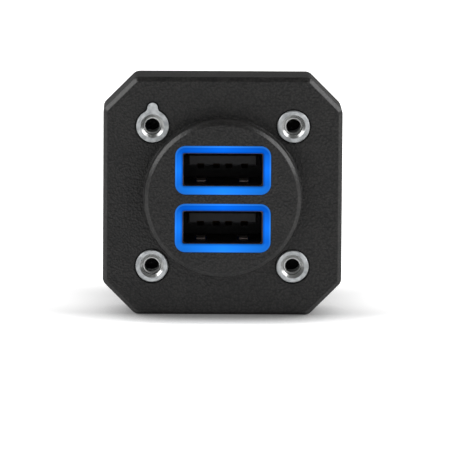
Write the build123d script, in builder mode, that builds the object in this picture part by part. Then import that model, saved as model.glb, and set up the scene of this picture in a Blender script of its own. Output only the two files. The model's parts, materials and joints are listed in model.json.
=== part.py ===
from build123d import *
import os

# Dual USB socket for a vehicle panel. The panel lies against the front of the block, at y = 0,
# and the round boss fills the hole in it. The front faces -Y, up is +Z, lengths are millimetres.

# Front block: a square with its corners cut at 45 degrees
block_width = 38.1
block_depth = 9.9
corner_leg = 5.2
corner_round = 1.5
block_bevel = 0.65
face_wall = 1.8
side_wall = 1.8
rib_width = 1.2

# Round boss, and the solid core behind it that holds the light rings
boss_radius = 12.45
boss_height = 3.9
boss_bevel = 0.6
boss_root = 0.3
core_wall = 0.95

# Threaded inserts, one near each corner
insert_square_width = 22.45
insert_flange_radius = 2.575
insert_flange_depth = 0.7
insert_flange_bevel = 0.12
insert_proud = 0.2
insert_body_radius = 2.15
insert_groove_depth = 0.3
insert_groove_width = 1.1
insert_length = 6.2
insert_boss_wall = 1.2
insert_hole_spare = 0.4
thread_radius = 1.42
mouth_radius = 1.9
rim_gap = 0.22
tab_reach = 3.73
tab_width = 1.65
tab_flare = 0.7

# USB-A ports, one above the other
shell_inner_width = 12.5
shell_inner_height = 5.12
shell_sheet = 0.3
shell_corner = 0.4
spring_width = 1.4
spring_offset = 3.4
spring_start = 1.3
spring_root_gap = 0.5
spring_rise = 0.42
spring_crest = 1.6
spring_tip_gap = 0.3
spring_bend = 0.6
spring_window_gap = 0.3
leg_width = 1.2
leg_offset = 1.3
tongue_side_gap = 0.75
tongue_thickness = 1.84
tongue_drop = 0.51
tongue_tip = 0.5
tongue_bevel = 0.24
insulator_block_depth = 3.2
contact_width = 1.0
contact_sheet = 0.25
contact_inner_offset = 1.0
contact_outer_offset = 3.5
contact_bow = 0.55
contact_start = 0.8
contact_crest = 2.2
contact_end = 4.6
contact_bend = 0.5
contact_groove_depth = 0.4
contact_groove_gap = 0.12
tail_reach = 0.8

# Light rings: funnel at the face, then a light guide around the port shell
ring_side_wall = 1.05
ring_end_wall = 0.99
ring_distance = 1.54
ring_corner = 1.65
ring_rim = 0.2
opening_side_gap = 0.17
opening_end_gap = 0.1
opening_corner = 0.3
funnel_depth = 0.95
throat_land = 0.35
ring_seat = 1.6
ring_flange_depth = 1.2
ring_flange_lip = 0.6
lamp_length = 1.6
lamp_width = 0.7
lamp_height = 0.65
lamp_gap = 0.2
lamp_pocket_depth = 1.0

# Upright board behind the ports
board_stand = 1.6
port_board_thickness = 1.2
port_board_margin = 0.3
board_corner = 1.0
post_radius = 1.7
post_gap = 0.65
controller_width = 4.0
controller_height = 3.0
controller_depth = 0.9
controller_offset = 4.2

# Rear housing and its cover
housing_top = 14.6
housing_depth = 22.5
housing_wall = 1.6
housing_corner = 2.4
housing_draft = 0.2
flange_inset = 0.5
flange_depth = 2.4
flange_bevel = 0.3
gusset_thickness = 1.0
gusset_length = 5.0
cover_thickness = 1.8
cover_bevel = 0.4
lip_depth = 1.4
lip_wall = 1.2
cover_boss_radius = 2.1
cover_boss_length = 8.0
terminal_width = 19.0
terminal_height = 6.4
terminal_depth = 2.0
terminal_corner = 1.0
partition_thickness = 1.2
partition_reach = 5.0

# Seal between block and housing
seal_width = 0.7
seal_depth = 0.6
seal_inset = 1.0
seal_gap = 0.2

# Screws of three kinds, with a cross recess
housing_screw_radius = 0.95
housing_screw_length = 7.0
housing_screw_head = 1.6
housing_screw_head_height = 1.2
housing_screw_gap = 0.2
housing_screw_z = 5.6
housing_screw_boss = 2.2
cover_screw_radius = 0.95
cover_screw_length = 6.5
cover_screw_head = 1.7
cover_screw_head_height = 1.2
board_screw_radius = 0.75
board_screw_length = 4.2
board_screw_head = 1.4
board_screw_head_height = 0.9
drive_width = 0.45
hole_spare = 0.6

# Main board of the power converter, and what stands on it
main_board_thickness = 1.6
main_board_gap = 0.1
main_board_end_gap = 0.6
rail_width = 0.9
rail_reach = 0.8
rail_gap = 0.1
row_gap = 0.15
inductor_width = 7.0
inductor_height = 4.2
inductor_corner = 0.9
inductor_core_radius = 2.9
inductor_core_gap = 0.4
inductor_core_depth = 1.05
capacitor_radius = 2.5
capacitor_height = 5.8
capacitor_base = 0.8
capacitor_corner = 0.6
capacitor_crimp_height = 2.0
capacitor_crimp_depth = 0.2
capacitor_spacing = 5.1
chip_width = 7.0
chip_depth = 5.0
chip_height = 1.65
chip_spacing = 10.0
pad_thickness = 1.1
header_pins_count = 6
header_spacing = 2.0
header_setback = 1.2
header_depth = 2.2
header_height = 2.5
header_pin_width = 0.5
header_pin_height = 1.0
header_hole_gap = 0.3
pin_stub = 0.7

# Flat terminals for 6.3 mm push-on connectors
blade_width = 6.3
blade_thickness = 0.8
blade_reach = 8.0
blade_tip = 1.4
blade_hole = 0.9
blade_spacing = 10.4
blade_z = -4.5
blade_foot = 2.8
blade_bend = 1.0
blade_setback = 1.2

# Clearances
slip = 0.05
fit = 0.1
board_fit = 0.15

# Port shells, the rings round them and the tongue inside follow from the shell's inner size
shell_width = shell_inner_width + 2 * shell_sheet
shell_height = shell_inner_height + 2 * shell_sheet
ring_width = shell_width + 2 * ring_side_wall
ring_height = shell_height + 2 * ring_end_wall
opening_width = shell_inner_width + 2 * opening_side_gap
opening_height = shell_inner_height + 2 * opening_end_gap
tongue_width = shell_inner_width - 2 * tongue_side_gap
port_z = (ring_height + ring_distance) / 2

# Depths, measured back from the panel face
core_radius = boss_radius + core_wall
board_front = block_depth + board_stand
board_back = board_front + port_board_thickness
throat_depth = -boss_height + funnel_depth
shell_front = throat_depth + throat_land
spring_end = board_front - insulator_block_depth - spring_root_gap
bore_start = mouth_radius - thread_radius - insert_proud
housing_rear = block_depth + housing_depth
cover_back = housing_rear + cover_thickness
terminal_back = cover_back + terminal_depth
main_board_front = board_back + board_screw_head_height + main_board_gap
main_board_back = housing_rear - main_board_end_gap
header_y = main_board_front + header_setback
blade_foot_y = main_board_back - blade_setback - blade_foot
row_y = (header_y + header_depth / 2 + blade_foot_y) / 2

# Widths and heights that follow from the block's: screws inside the seal, the can inside the
# screws' heads, and the can's bottom level with the block's, so that the socket stands on it
block_half = block_width / 2
flange_half = block_half - flange_inset
housing_screw_x = block_half - seal_inset - seal_width - seal_gap - housing_screw_radius
housing_half = housing_screw_x - housing_screw_head - housing_screw_gap
housing_inner_half = housing_half - housing_wall
housing_inner_bottom = housing_wall - block_half
housing_inner_top = housing_top - housing_wall
housing_inner_middle = (housing_inner_top + housing_inner_bottom) / 2
housing_inner_height = housing_inner_top - housing_inner_bottom
main_board_half = housing_inner_half - board_fit
main_board_bottom = housing_inner_bottom + pad_thickness + chip_height
main_board_top = main_board_bottom + main_board_thickness
header_z = main_board_top + header_pin_height
row_half = housing_inner_half - rail_reach - row_gap
inductor_x = inductor_width / 2 - row_half
last_capacitor_x = row_half - capacitor_radius
post_z = port_z + ring_height / 2 + ring_flange_lip + 2 * fit + post_radius

# Places that several pieces share
port_heights = {"upper": port_z, "lower": -port_z}
contact_offsets = [
    -contact_outer_offset,
    -contact_inner_offset,
    contact_inner_offset,
    contact_outer_offset,
]
insert_offset = insert_square_width / 2
tab_place = (-insert_offset, insert_offset)
plain_places = [
    (insert_offset, insert_offset),
    (-insert_offset, -insert_offset),
    (insert_offset, -insert_offset),
]
housing_screw_places = [
    (side * housing_screw_x, level * housing_screw_z) for side in (-1, 1) for level in (-1, 1)
]
cover_boss_x = housing_inner_half - cover_boss_radius + slip
cover_boss_places = [
    (side * cover_boss_x, level)
    for side in (-1, 1)
    for level in (
        housing_inner_bottom + cover_boss_radius - slip,
        housing_inner_top - cover_boss_radius + slip,
    )
]
blade_places = {"supply": blade_spacing / 2, "ground": -blade_spacing / 2}
header_x = [
    (index - (header_pins_count - 1) / 2) * header_spacing for index in range(header_pins_count)
]
post_x = header_x[-1] + header_pin_width / 2 + post_gap + post_radius
post_places = [(0, post_z), (-post_x, -post_z), (post_x, -post_z)]
lamp_wall = (ring_width - shell_width) / 2 - fit
lamp_x = ring_width / 2 - lamp_wall / 2
capacitor_places = [(last_capacitor_x, row_y), (last_capacitor_x - capacitor_spacing, row_y)]

os.makedirs("parts", exist_ok=True)


def facing(depth, place=(0, 0)):
    # Plane across the socket at this depth, seen from the front: local x is X, local y is Z
    return Plane(origin=(place[0], depth, place[1]), x_dir=(1, 0, 0), z_dir=(0, -1, 0))


def octagon(half, leg, rounding):
    # Square with its corners cut off at 45 degrees and all eight points rounded
    flat = half - leg
    quarter = [(flat, half), (half, flat)]
    points = quarter + [(x, -z) for x, z in reversed(quarter)]
    points += [(-x, -z) for x, z in quarter] + [(-x, z) for x, z in reversed(quarter)]
    with BuildSketch(mode=Mode.PRIVATE) as outline:
        with BuildLine():
            FilletPolyline(*points, radius=rounding, close=True)
        make_face()
    return outline.sketch


def octagon_leg(inset):
    # Leg of the corner cut on an outline that lies this far inside the block's
    return corner_leg - inset * (2 - 2**0.5)


def tab_outline(grow):
    # Insert flange with its rounded tab, both wider all round by this much, and between them
    # hollow flares that touch the flange and the tab's sides
    tip = tab_width / 2 + grow
    flange = insert_flange_radius + grow
    flare = tab_flare - grow
    flare_x = tip + flare
    flare_z = ((flange + flare) ** 2 - flare_x**2) ** 0.5
    Polygon((0, 0), (flare_x, flare_z), (-flare_x, flare_z), align=None)
    with Locations((flare_x, flare_z), (-flare_x, flare_z)):
        Circle(flare, mode=Mode.SUBTRACT)
    Circle(flange)
    with Locations((0, (tab_reach + grow - tip) / 2)):
        Rectangle(2 * tip, tab_reach + grow - tip)
    with Locations((0, tab_reach + grow - tip)):
        Circle(tip)


def pan_screw(radius, length, head_radius, head_height):
    # Screw along Y with its head's seat at y = 0 and its shank towards the front
    with BuildPart() as screw:
        with BuildSketch(Plane.XY):
            with BuildLine():
                Polyline(
                    (0, -length),
                    (radius / 2, -length),
                    (radius, -length + radius),
                    (radius, 0),
                    (head_radius, 0),
                    (head_radius, head_height / 2),
                    (head_radius - head_height / 2, head_height),
                    (0, head_height),
                    close=True,
                )
            make_face()
        revolve(axis=Axis.Y)
        with BuildSketch(facing(head_height)):
            Rectangle(head_radius, drive_width)
            Rectangle(drive_width, head_radius)
        extrude(amount=head_height / 2, mode=Mode.SUBTRACT)
    return screw.part


def screws_at(screw, depth, places):
    # Separate copies of one screw, each with its head's seat at this depth
    with BuildPart() as group:
        with Locations(*[(x, depth, z) for x, z in places]):
            add(screw)
    return group.part


def strip(points, bend, thickness, width, x):
    # Bent sheet strip: its side view is a line of this thickness, its width runs along X
    with BuildPart() as piece:
        with BuildSketch(Plane.YZ.offset(x - width / 2)):
            with BuildLine():
                FilletPolyline(*points, radius=bend)
            trace(line_width=thickness)
        extrude(amount=width)
    return piece.part


# Front bezel: block, boss and, behind them, the moulded pockets, bosses and ribs
with BuildPart() as front_bezel:
    with BuildSketch(facing(0)):
        add(octagon(block_half, corner_leg, corner_round))
    extrude(amount=-block_depth)
    chamfer(front_bezel.faces().sort_by(Axis.Y)[0].edges(), block_bevel)
    with BuildSketch(facing(0)):
        Circle(boss_radius)
    extrude(amount=boss_height)
    chamfer(front_bezel.faces().sort_by(Axis.Y)[0].edges(), boss_bevel)
    boss_foot = front_bezel.edges().filter_by(GeomType.CIRCLE).filter_by_position(Axis.Y, -slip, slip)
    fillet(boss_foot.filter_by(lambda edge: abs(edge.radius - boss_radius) < slip), boss_root)

    with BuildSketch(facing(block_depth)):
        add(octagon(block_half - side_wall, octagon_leg(side_wall), corner_round / 2))
        Circle(core_radius, mode=Mode.SUBTRACT)
        with GridLocations(insert_square_width, insert_square_width, 2, 2):
            Circle(insert_body_radius + insert_boss_wall, mode=Mode.SUBTRACT)
        with Locations(*housing_screw_places):
            Circle(housing_screw_boss, mode=Mode.SUBTRACT)
        Rectangle(rib_width, block_width, mode=Mode.SUBTRACT)
        with GridLocations(insert_square_width, 0, 2, 1):
            Rectangle(rib_width, block_width, mode=Mode.SUBTRACT)
    extrude(amount=block_depth - face_wall, mode=Mode.SUBTRACT)

    with BuildSketch(facing(block_depth)):
        with Locations((0, port_heights["upper"]), (0, port_heights["lower"])):
            RectangleRounded(ring_width + 2 * slip, ring_height + 2 * slip, ring_corner + slip)
    extrude(amount=block_depth + boss_height, mode=Mode.SUBTRACT)
    with BuildSketch(facing(block_depth)):
        RectangleRounded(
            ring_width + 2 * (ring_flange_lip + fit),
            2 * port_z + ring_height + 2 * (ring_flange_lip + fit),
            ring_corner + ring_flange_lip + fit,
        )
    extrude(amount=block_depth - ring_seat, mode=Mode.SUBTRACT)

    with BuildSketch(facing(face_wall)):
        with Locations(*post_places):
            Circle(post_radius)
    extrude(amount=-(board_front - face_wall))

    for reach, radius in (
        (insert_flange_depth - insert_proud, insert_flange_radius + rim_gap),
        (insert_length - insert_proud + insert_hole_spare, insert_body_radius + slip),
    ):
        with BuildSketch(facing(0)):
            with GridLocations(insert_square_width, insert_square_width, 2, 2):
                Circle(radius)
        extrude(amount=-reach, mode=Mode.SUBTRACT)
    with BuildSketch(facing(0, tab_place)):
        tab_outline(rim_gap)
    extrude(amount=-(insert_flange_depth - insert_proud), mode=Mode.SUBTRACT)
    with BuildSketch(facing(block_depth)):
        with Locations(*housing_screw_places):
            Circle(housing_screw_radius + slip)
    extrude(amount=housing_screw_length - flange_depth + hole_spare, mode=Mode.SUBTRACT)
    with BuildSketch(facing(board_front)):
        with Locations(*post_places):
            Circle(board_screw_radius + slip)
    extrude(amount=board_screw_length - port_board_thickness + hole_spare, mode=Mode.SUBTRACT)
front_bezel.part.label = "front_bezel"
export_step(front_bezel.part, "parts/front_bezel.step")


# Threaded inserts: body with a groove round it that holds it in the block, flange just proud
# of the face, and a countersunk mouth in front of the thread
with BuildPart() as insert_body:
    insert_back = insert_length - insert_proud
    seat = insert_flange_depth - insert_proud
    groove_radius = insert_body_radius - insert_groove_depth
    groove_front = (seat + insert_back - insert_groove_width) / 2
    with BuildSketch(Plane.XY):
        with BuildLine():
            Polyline(
                (thread_radius, insert_back),
                (groove_radius, insert_back),
                (insert_body_radius, insert_back - insert_groove_depth),
                (insert_body_radius, groove_front + insert_groove_width),
                (groove_radius, groove_front + insert_groove_width),
                (groove_radius, groove_front),
                (insert_body_radius, groove_front),
                (insert_body_radius, seat),
                (insert_flange_radius, seat),
                (insert_flange_radius, insert_flange_bevel - insert_proud),
                (insert_flange_radius - insert_flange_bevel, -insert_proud),
                (mouth_radius, -insert_proud),
                (thread_radius, bore_start),
                close=True,
            )
        make_face()
    revolve(axis=Axis.Y)

with BuildPart() as threaded_inserts:
    with Locations(*[(x, 0, z) for x, z in plain_places]):
        add(insert_body.part)
threaded_inserts.part.label = "threaded_inserts"
export_step(threaded_inserts.part, "parts/threaded_inserts.step")

with BuildPart() as tabbed_insert:
    with BuildSketch(facing(-insert_proud, tab_place)):
        tab_outline(0)
        Circle(mouth_radius, mode=Mode.SUBTRACT)
    extrude(amount=-insert_flange_depth)
    with Locations((tab_place[0], 0, tab_place[1])):
        add(insert_body.part)
tabbed_insert.part.label = "tabbed_insert"
export_step(tabbed_insert.part, "parts/tabbed_insert.step")


# Light rings: one for each port, from the face of the boss back to the board
def light_ring(level):
    with BuildPart() as ring:
        with BuildSketch(facing(-boss_height)):
            with Locations((0, level)):
                RectangleRounded(ring_width, ring_height, ring_corner)
        extrude(amount=-(boss_height + board_front))
        with BuildSketch(facing(ring_seat)):
            with Locations((0, level)):
                RectangleRounded(
                    ring_width + 2 * ring_flange_lip,
                    ring_height + 2 * ring_flange_lip,
                    ring_corner + ring_flange_lip,
                )
        extrude(amount=-ring_flange_depth)
        with BuildSketch(facing(-boss_height)):
            with Locations((0, level)):
                RectangleRounded(
                    ring_width - 2 * ring_rim, ring_height - 2 * ring_rim, ring_corner - ring_rim
                )
        with BuildSketch(facing(throat_depth)):
            with Locations((0, level)):
                RectangleRounded(opening_width, opening_height, opening_corner)
        loft(mode=Mode.SUBTRACT)
        with BuildSketch(facing(throat_depth)):
            with Locations((0, level)):
                RectangleRounded(opening_width, opening_height, opening_corner)
        extrude(amount=-throat_land, mode=Mode.SUBTRACT)
        with BuildSketch(facing(shell_front - slip)):
            with Locations((0, level)):
                RectangleRounded(shell_width + 2 * fit, shell_height + 2 * fit, shell_corner + fit)
        extrude(amount=-(board_front - shell_front + slip), mode=Mode.SUBTRACT)
        with BuildSketch(facing(board_front)):
            with Locations((-lamp_x, level), (lamp_x, level)):
                Rectangle(lamp_wall + 2 * fit, lamp_length + 2 * lamp_gap)
        extrude(amount=lamp_pocket_depth, mode=Mode.SUBTRACT)
    return ring.part


# Port shell: stamped box with two spring fingers above and two below, and four solder legs
def port_shell(level):
    with BuildPart() as shell:
        with BuildSketch(facing(shell_front)):
            with Locations((0, level)):
                RectangleRounded(shell_width, shell_height, shell_corner + shell_sheet)
                RectangleRounded(
                    shell_inner_width, shell_inner_height, shell_corner, mode=Mode.SUBTRACT
                )
        extrude(amount=-(board_front - shell_front))
        window_depth = spring_end - spring_start
        with BuildSketch(Plane.XY.offset(level - shell_height)):
            with Locations(*[
                (side * spring_offset, spring_start + window_depth / 2) for side in (-1, 1)
            ]):
                Rectangle(spring_width + 2 * spring_window_gap, window_depth)
        extrude(amount=2 * shell_height, mode=Mode.SUBTRACT)
        with BuildSketch(facing(board_front)):
            with Locations(*[
                (side * (shell_width - shell_sheet) / 2, level + step * leg_offset)
                for side in (-1, 1)
                for step in (-1, 1)
            ]):
                Rectangle(shell_sheet, leg_width)
        extrude(amount=-(port_board_thickness + tail_reach))
        for turn in (-1, 1):
            wall = level + turn * (shell_inner_height + shell_sheet) / 2
            crown = wall - turn * spring_rise
            for side in (-1, 1):
                finger = strip(
                    [
                        (spring_end + shell_sheet, wall),
                        (spring_end - shell_sheet, wall),
                        (spring_start + spring_crest, crown),
                        (spring_start + spring_tip_gap, wall - turn * shell_sheet),
                    ],
                    spring_bend,
                    shell_sheet,
                    spring_width,
                    side * spring_offset,
                )
                add(finger)
    return shell.part


# Insulator: rear block with the tongue that carries the contacts in grooves on its underside
def port_insulator(level):
    tongue_top = level + shell_inner_height / 2 - tongue_drop
    tongue_middle = tongue_top - tongue_thickness / 2
    with BuildPart() as insulator:
        with BuildSketch(facing(board_front)):
            with Locations((0, level)):
                RectangleRounded(
                    shell_inner_width - 2 * slip, shell_inner_height - 2 * slip, shell_corner
                )
        extrude(amount=insulator_block_depth)
        with BuildSketch(facing(tongue_tip)):
            with Locations((0, tongue_middle)):
                Rectangle(tongue_width, tongue_thickness)
        extrude(amount=-(board_front - tongue_tip))
        tip_face = insulator.faces().sort_by(Axis.Y)[0]
        chamfer(tip_face.edges(), tongue_bevel)
        with BuildSketch(facing(tongue_tip)):
            groove_height = contact_groove_depth + slip
            with Locations(*[
                (offset, tongue_top - tongue_thickness + contact_groove_depth - groove_height / 2)
                for offset in contact_offsets
            ]):
                Rectangle(contact_width + 2 * contact_groove_gap, groove_height)
        extrude(amount=-(board_front - tongue_tip), mode=Mode.SUBTRACT)
    return insulator.part


# Contacts: four sprung strips that run through the insulator and the board
def port_contacts(level):
    underside = level + shell_inner_height / 2 - tongue_drop - tongue_thickness
    line = underside + contact_groove_depth / 2
    with BuildPart() as contacts:
        for offset in contact_offsets:
            add(
                strip(
                    [
                        (tongue_tip + contact_start, line),
                        (tongue_tip + contact_crest, underside - contact_bow),
                        (tongue_tip + contact_end, line),
                        (board_back + tail_reach, line),
                    ],
                    contact_bend,
                    contact_sheet,
                    contact_width,
                    offset,
                )
            )
    return contacts.part


for name, level in port_heights.items():
    pieces = {
        "light_ring": light_ring(level),
        "port_shell": port_shell(level),
        "port_insulator": port_insulator(level),
        "port_contacts": port_contacts(level),
    }
    for kind, piece in pieces.items():
        piece.label = f"{name}_{kind}"
        export_step(piece, f"parts/{name}_{kind}.step")


# Port board: stands behind the ports and takes their legs, contacts and the header pins
contact_line = shell_inner_height / 2 - tongue_drop - tongue_thickness + contact_groove_depth / 2
with BuildPart() as port_board:
    board_low = housing_inner_bottom + port_board_margin
    board_high = housing_inner_top - port_board_margin
    with BuildSketch(facing(board_front)):
        with Locations((0, (board_low + board_high) / 2)):
            RectangleRounded(
                2 * (housing_inner_half - port_board_margin),
                board_high - board_low,
                board_corner,
            )
        with Locations(*post_places):
            Circle(board_screw_radius + fit, mode=Mode.SUBTRACT)
        for level in port_heights.values():
            with Locations(*[(offset, level + contact_line) for offset in contact_offsets]):
                Rectangle(
                    contact_width + 2 * fit, contact_sheet + 2 * fit, mode=Mode.SUBTRACT
                )
            with Locations(*[
                (side * (shell_width - shell_sheet) / 2, level + step * leg_offset)
                for side in (-1, 1)
                for step in (-1, 1)
            ]):
                Rectangle(shell_sheet + 2 * fit, leg_width + 2 * fit, mode=Mode.SUBTRACT)
        with Locations(*[(x, header_z) for x in header_x]):
            Circle(header_pin_width / 2 + header_hole_gap, mode=Mode.SUBTRACT)
    extrude(amount=-port_board_thickness)
port_board.part.label = "port_board"
export_step(port_board.part, "parts/port_board.step")

with BuildPart() as leds:
    with BuildSketch(facing(board_front)):
        for level in port_heights.values():
            with Locations((-lamp_x, level), (lamp_x, level)):
                Rectangle(lamp_width, lamp_length)
    extrude(amount=lamp_height)
leds.part.label = "leds"
export_step(leds.part, "parts/leds.step")

with BuildPart() as charge_controllers:
    with BuildSketch(facing(board_back)):
        with Locations((-controller_offset, 0), (controller_offset, 0)):
            Rectangle(controller_width, controller_height)
    extrude(amount=-controller_depth)
    chamfer(charge_controllers.faces().sort_by(Axis.Y)[-2:].edges(), fit)
charge_controllers.part.label = "charge_controllers"
export_step(charge_controllers.part, "parts/charge_controllers.step")

board_screws = screws_at(
    pan_screw(board_screw_radius, board_screw_length, board_screw_head, board_screw_head_height),
    board_back,
    post_places,
)
board_screws.label = "board_screws"
export_step(board_screws, "parts/board_screws.step")


# Main board: slides between rails on the housing's side walls, with its rear corners cut
# back around the cover's screw bosses
with BuildPart() as main_board:
    notch_width = 2 * cover_boss_radius + 2 * board_fit
    notch_depth = main_board_back - (housing_rear - cover_boss_length) + board_fit
    with BuildSketch(Plane.XY.offset(main_board_bottom)):
        with Locations((0, (main_board_front + main_board_back) / 2)):
            Rectangle(2 * main_board_half, main_board_back - main_board_front)
        with Locations(*[
            (side * (main_board_half - notch_width / 2), main_board_back - notch_depth / 2)
            for side in (-1, 1)
        ]):
            Rectangle(notch_width, notch_depth, mode=Mode.SUBTRACT)
        with Locations(*[(x, header_y) for x in header_x]):
            Circle(header_pin_width / 2 + header_hole_gap, mode=Mode.SUBTRACT)
    extrude(amount=main_board_thickness)
main_board.part.label = "main_board"
export_step(main_board.part, "parts/main_board.step")

with BuildPart() as header_block:
    with BuildSketch(Plane.XY.offset(main_board_top)):
        with Locations((0, header_y)):
            Rectangle(header_pins_count * header_spacing, header_depth)
    extrude(amount=header_height)
    with BuildSketch(facing(header_y)):
        with Locations(*[(x, main_board_top + header_pin_height / 2) for x in header_x]):
            Rectangle(header_pin_width + 2 * fit, header_pin_height + header_pin_width + 2 * fit)
    extrude(amount=header_depth / 2, mode=Mode.SUBTRACT)
    with BuildSketch(Plane.XY.offset(main_board_top)):
        with Locations(*[(x, header_y) for x in header_x]):
            Rectangle(header_pin_width + 2 * fit, header_pin_width + 2 * fit)
    extrude(amount=header_pin_height + header_pin_width / 2 + fit, mode=Mode.SUBTRACT)
header_block.part.label = "header_block"
export_step(header_block.part, "parts/header_block.step")

with BuildPart() as header_pins:
    for x in header_x:
        add(
            strip(
                [
                    (board_front - pin_stub, header_z),
                    (header_y, header_z),
                    (header_y, main_board_bottom - pin_stub),
                ],
                header_pin_width / 2 + slip,
                header_pin_width,
                header_pin_width,
                x,
            )
        )
header_pins.part.label = "header_pins"
export_step(header_pins.part, "parts/header_pins.step")

with BuildPart() as power_inductor:
    with BuildSketch(Plane.XY.offset(main_board_top)) as inductor_base:
        with Locations((inductor_x, row_y)):
            Rectangle(inductor_width, inductor_width)
            chamfer(inductor_base.vertices(), inductor_corner)
    extrude(amount=inductor_height)
    with BuildSketch(Plane.XY.offset(main_board_top + inductor_height)):
        with Locations((inductor_x, row_y)):
            Circle(inductor_core_radius)
            Circle(inductor_core_radius - inductor_core_gap, mode=Mode.SUBTRACT)
    extrude(amount=-inductor_core_depth, mode=Mode.SUBTRACT)
power_inductor.part.label = "power_inductor"
export_step(power_inductor.part, "parts/power_inductor.step")

with BuildPart() as capacitor:
    with BuildSketch(Plane.XY) as capacitor_foot:
        Rectangle(2 * capacitor_radius, 2 * capacitor_radius)
        chamfer(capacitor_foot.vertices().sort_by(Axis.Y)[-2:], capacitor_corner)
    extrude(amount=capacitor_base)
    with BuildSketch(Plane.XZ):
        with BuildLine():
            can_radius = capacitor_radius - fit
            Polyline(
                (0, capacitor_base),
                (can_radius, capacitor_base),
                (can_radius, capacitor_crimp_height - capacitor_crimp_depth),
                (can_radius - capacitor_crimp_depth, capacitor_crimp_height),
                (can_radius, capacitor_crimp_height + capacitor_crimp_depth),
                (can_radius, capacitor_height - capacitor_crimp_depth),
                (can_radius - capacitor_crimp_depth, capacitor_height),
                (0, capacitor_height),
                close=True,
            )
        make_face()
    revolve(axis=Axis.Z)
with BuildPart() as capacitors:
    with Locations(*[(x, y, main_board_top) for x, y in capacitor_places]):
        add(capacitor.part)
capacitors.part.label = "capacitors"
export_step(capacitors.part, "parts/capacitors.step")

with BuildPart() as converter_chips:
    with BuildSketch(Plane.XY.offset(main_board_bottom)):
        with Locations((-chip_spacing / 2, row_y), (chip_spacing / 2, row_y)):
            Rectangle(chip_width, chip_depth)
    extrude(amount=-chip_height)
    chamfer(converter_chips.edges().group_by(Axis.Z)[0], fit)
converter_chips.part.label = "converter_chips"
export_step(converter_chips.part, "parts/converter_chips.step")

with BuildPart() as thermal_pad:
    with BuildSketch(Plane.XY.offset(housing_inner_bottom)):
        with Locations((0, row_y)):
            RectangleRounded(chip_spacing + chip_width, chip_depth, 2 * fit)
    extrude(amount=pad_thickness)
thermal_pad.part.label = "thermal_pad"
export_step(thermal_pad.part, "parts/thermal_pad.step")


def can_outline(draft):
    # Outline of the can with its sides and top this far in from its front edge
    top = housing_top - draft
    with Locations((0, (top - block_half) / 2)):
        RectangleRounded(2 * (housing_half - draft), top + block_half, housing_corner)


# Rear housing: flange that follows the block, can that narrows to the rear on its sides and
# top, rails for the main board and bosses for the cover's screws
with BuildPart() as rear_housing:
    with BuildSketch(facing(block_depth)):
        add(octagon(flange_half, octagon_leg(flange_inset), corner_round))
    extrude(amount=-flange_depth)
    chamfer(rear_housing.faces().sort_by(Axis.Y)[-1].edges(), flange_bevel)
    with BuildSketch(facing(block_depth)):
        can_outline(0)
    with BuildSketch(facing(housing_rear)):
        can_outline(housing_draft)
    loft()
    for side in (-1, 1):
        with BuildSketch(Plane.XY):
            with BuildLine():
                Polyline(
                    (side * housing_inner_half, block_depth + flange_depth / 2),
                    (side * (housing_screw_x + housing_screw_head), block_depth + flange_depth / 2),
                    (side * (housing_screw_x + housing_screw_head), block_depth + flange_depth),
                    (side * housing_inner_half, block_depth + gusset_length),
                    close=True,
                )
            make_face()
        extrude(amount=gusset_thickness / 2, both=True)
    with BuildSketch(facing(block_depth)):
        with Locations((0, housing_inner_middle)):
            RectangleRounded(
                2 * housing_inner_half, housing_inner_height, housing_corner - housing_wall
            )
    extrude(amount=-housing_depth, mode=Mode.SUBTRACT)
    with BuildSketch(facing(block_depth)):
        with Locations(*housing_screw_places):
            Circle(housing_screw_radius + fit)
    extrude(amount=-flange_depth, mode=Mode.SUBTRACT)
    with BuildSketch(facing(block_depth)):
        add(octagon(block_half - seal_inset, octagon_leg(seal_inset), corner_round))
        add(
            octagon(
                block_half - seal_inset - seal_width,
                octagon_leg(seal_inset + seal_width),
                corner_round,
            ),
            mode=Mode.SUBTRACT,
        )
    extrude(amount=-seal_depth, mode=Mode.SUBTRACT)
    with BuildSketch(facing(housing_rear)):
        with Locations(*cover_boss_places):
            Circle(cover_boss_radius)
    extrude(amount=cover_boss_length)
    with BuildSketch(facing(housing_rear)):
        with Locations(*cover_boss_places):
            Circle(cover_screw_radius + slip)
    extrude(
        amount=cover_screw_length - cover_thickness + cover_screw_head_height + hole_spare,
        mode=Mode.SUBTRACT,
    )
    rail_x = housing_inner_half - rail_reach / 2
    rail_length = housing_rear - cover_boss_length - main_board_front
    with BuildSketch(facing(main_board_front)):
        for z in (
            main_board_top + rail_gap + rail_width / 2,
            main_board_bottom - rail_gap - rail_width / 2,
        ):
            with Locations((-rail_x, z), (rail_x, z)):
                Rectangle(rail_reach, rail_width)
    extrude(amount=-rail_length)
rear_housing.part.label = "rear_housing"
export_step(rear_housing.part, "parts/rear_housing.step")

with BuildPart() as housing_seal:
    with BuildSketch(facing(block_depth)):
        add(octagon(block_half - seal_inset, octagon_leg(seal_inset), corner_round))
        add(
            octagon(
                block_half - seal_inset - seal_width,
                octagon_leg(seal_inset + seal_width),
                corner_round,
            ),
            mode=Mode.SUBTRACT,
        )
    extrude(amount=-seal_depth)
housing_seal.part.label = "housing_seal"
export_step(housing_seal.part, "parts/housing_seal.step")

housing_screws = screws_at(
    pan_screw(
        housing_screw_radius, housing_screw_length, housing_screw_head, housing_screw_head_height
    ),
    block_depth + flange_depth,
    housing_screw_places,
)
housing_screws.label = "housing_screws"
export_step(housing_screws, "parts/housing_screws.step")


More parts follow.
